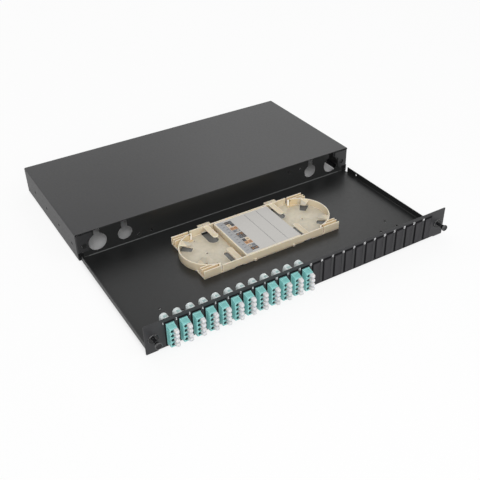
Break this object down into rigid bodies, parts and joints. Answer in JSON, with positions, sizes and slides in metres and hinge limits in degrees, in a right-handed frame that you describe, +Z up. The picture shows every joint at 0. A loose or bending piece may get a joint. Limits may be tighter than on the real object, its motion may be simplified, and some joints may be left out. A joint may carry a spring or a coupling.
{
  "type": "fibre patch panel",
  "caption": "Low rack-mount steel sleeve with a pulled-out drawer that holds a fibre splice tray, capped optical adapters and blanking covers.",
  "frame": {"origin": "the middle of the whole in X and Y with the drawer pulled out, on the plane of the sleeve's bottom rails", "axes": "+X to the right as seen from the front panel, +Y from the front panel to the rear, +Z up"},
  "size_m": [0.44, 0.434, 0.041],
  "materials": {
    "sleeve_paint": "fine-textured black powder coat",
    "drawer_paint": "fine-textured black powder coat",
    "panel_paint": "fine-textured black powder coat with white port numbers",
    "gasket_rubber": "thin black sheet",
    "adapter_plastic": "satin aqua moulding",
    "port_cap_plastic": "satin white moulding",
    "rear_cap_plastic": "translucent white moulding",
    "blank_plastic": "fine-textured black moulding",
    "grommet_nylon": "black nylon",
    "plunger_plastic": "black nylon",
    "tray_plastic": "satin ivory moulding",
    "tray_cover_plastic": "satin ivory moulding with a printed paper label",
    "comb_rubber": "soft light grey"
  },
  "bodies": {
    "chassis": {"sleeve": "sleeve_paint"},
    "drawer": {"drawer_pan": "drawer_paint", "front_panel": "panel_paint", "port_gaskets": "gasket_rubber", "adapter_01": "adapter_plastic", "adapter_02": "adapter_plastic", "adapter_03": "adapter_plastic", "adapter_04": "adapter_plastic", "adapter_05": "adapter_plastic", "adapter_06": "adapter_plastic", "adapter_07": "adapter_plastic", "adapter_08": "adapter_plastic", "adapter_09": "adapter_plastic", "adapter_10": "adapter_plastic", "adapter_11": "adapter_plastic", "adapter_12": "adapter_plastic", "port_caps_01": "port_cap_plastic", "port_caps_02": "port_cap_plastic", "port_caps_03": "port_cap_plastic", "port_caps_04": "port_cap_plastic", "port_caps_05": "port_cap_plastic", "port_caps_06": "port_cap_plastic", "port_caps_07": "port_cap_plastic", "port_caps_08": "port_cap_plastic", "port_caps_09": "port_cap_plastic", "port_caps_10": "port_cap_plastic", "port_caps_11": "port_cap_plastic", "port_caps_12": "port_cap_plastic", "rear_cap_01": "rear_cap_plastic", "rear_cap_02": "rear_cap_plastic", "rear_cap_03": "rear_cap_plastic", "rear_cap_04": "rear_cap_plastic", "rear_cap_05": "rear_cap_plastic", "rear_cap_06": "rear_cap_plastic", "rear_cap_07": "rear_cap_plastic", "rear_cap_08": "rear_cap_plastic", "rear_cap_09": "rear_cap_plastic", "rear_cap_10": "rear_cap_plastic", "rear_cap_11": "rear_cap_plastic", "rear_cap_12": "rear_cap_plastic", "blank_13": "blank_plastic", "blank_14": "blank_plastic", "blank_15": "blank_plastic", "blank_16": "blank_plastic", "blank_17": "blank_plastic", "blank_18": "blank_plastic", "blank_19": "blank_plastic", "blank_20": "blank_plastic", "blank_21": "blank_plastic", "blank_22": "blank_plastic", "blank_23": "blank_plastic", "blank_24": "blank_plastic", "grommets": "grommet_nylon", "splice_tray": "tray_plastic", "splice_cover": "tray_cover_plastic", "splice_combs": "comb_rubber"},
    "plunger_left": {"plunger_left": "plunger_plastic"},
    "plunger_right": {"plunger_right": "plunger_plastic"}
  },
  "joints": [
    {"name": "drawer_slide", "type": "slide", "parent": "chassis", "child": "drawer", "axis": [0, 1, 0], "range_m": [0, 0.2061]},
    {"name": "left_plunger_push", "type": "slide", "parent": "drawer", "child": "plunger_left", "axis": [0, 1, 0], "range_m": [0, 0.006]},
    {"name": "right_plunger_push", "type": "slide", "parent": "drawer", "child": "plunger_right", "axis": [0, 1, 0], "range_m": [0, 0.006]}
  ]
}
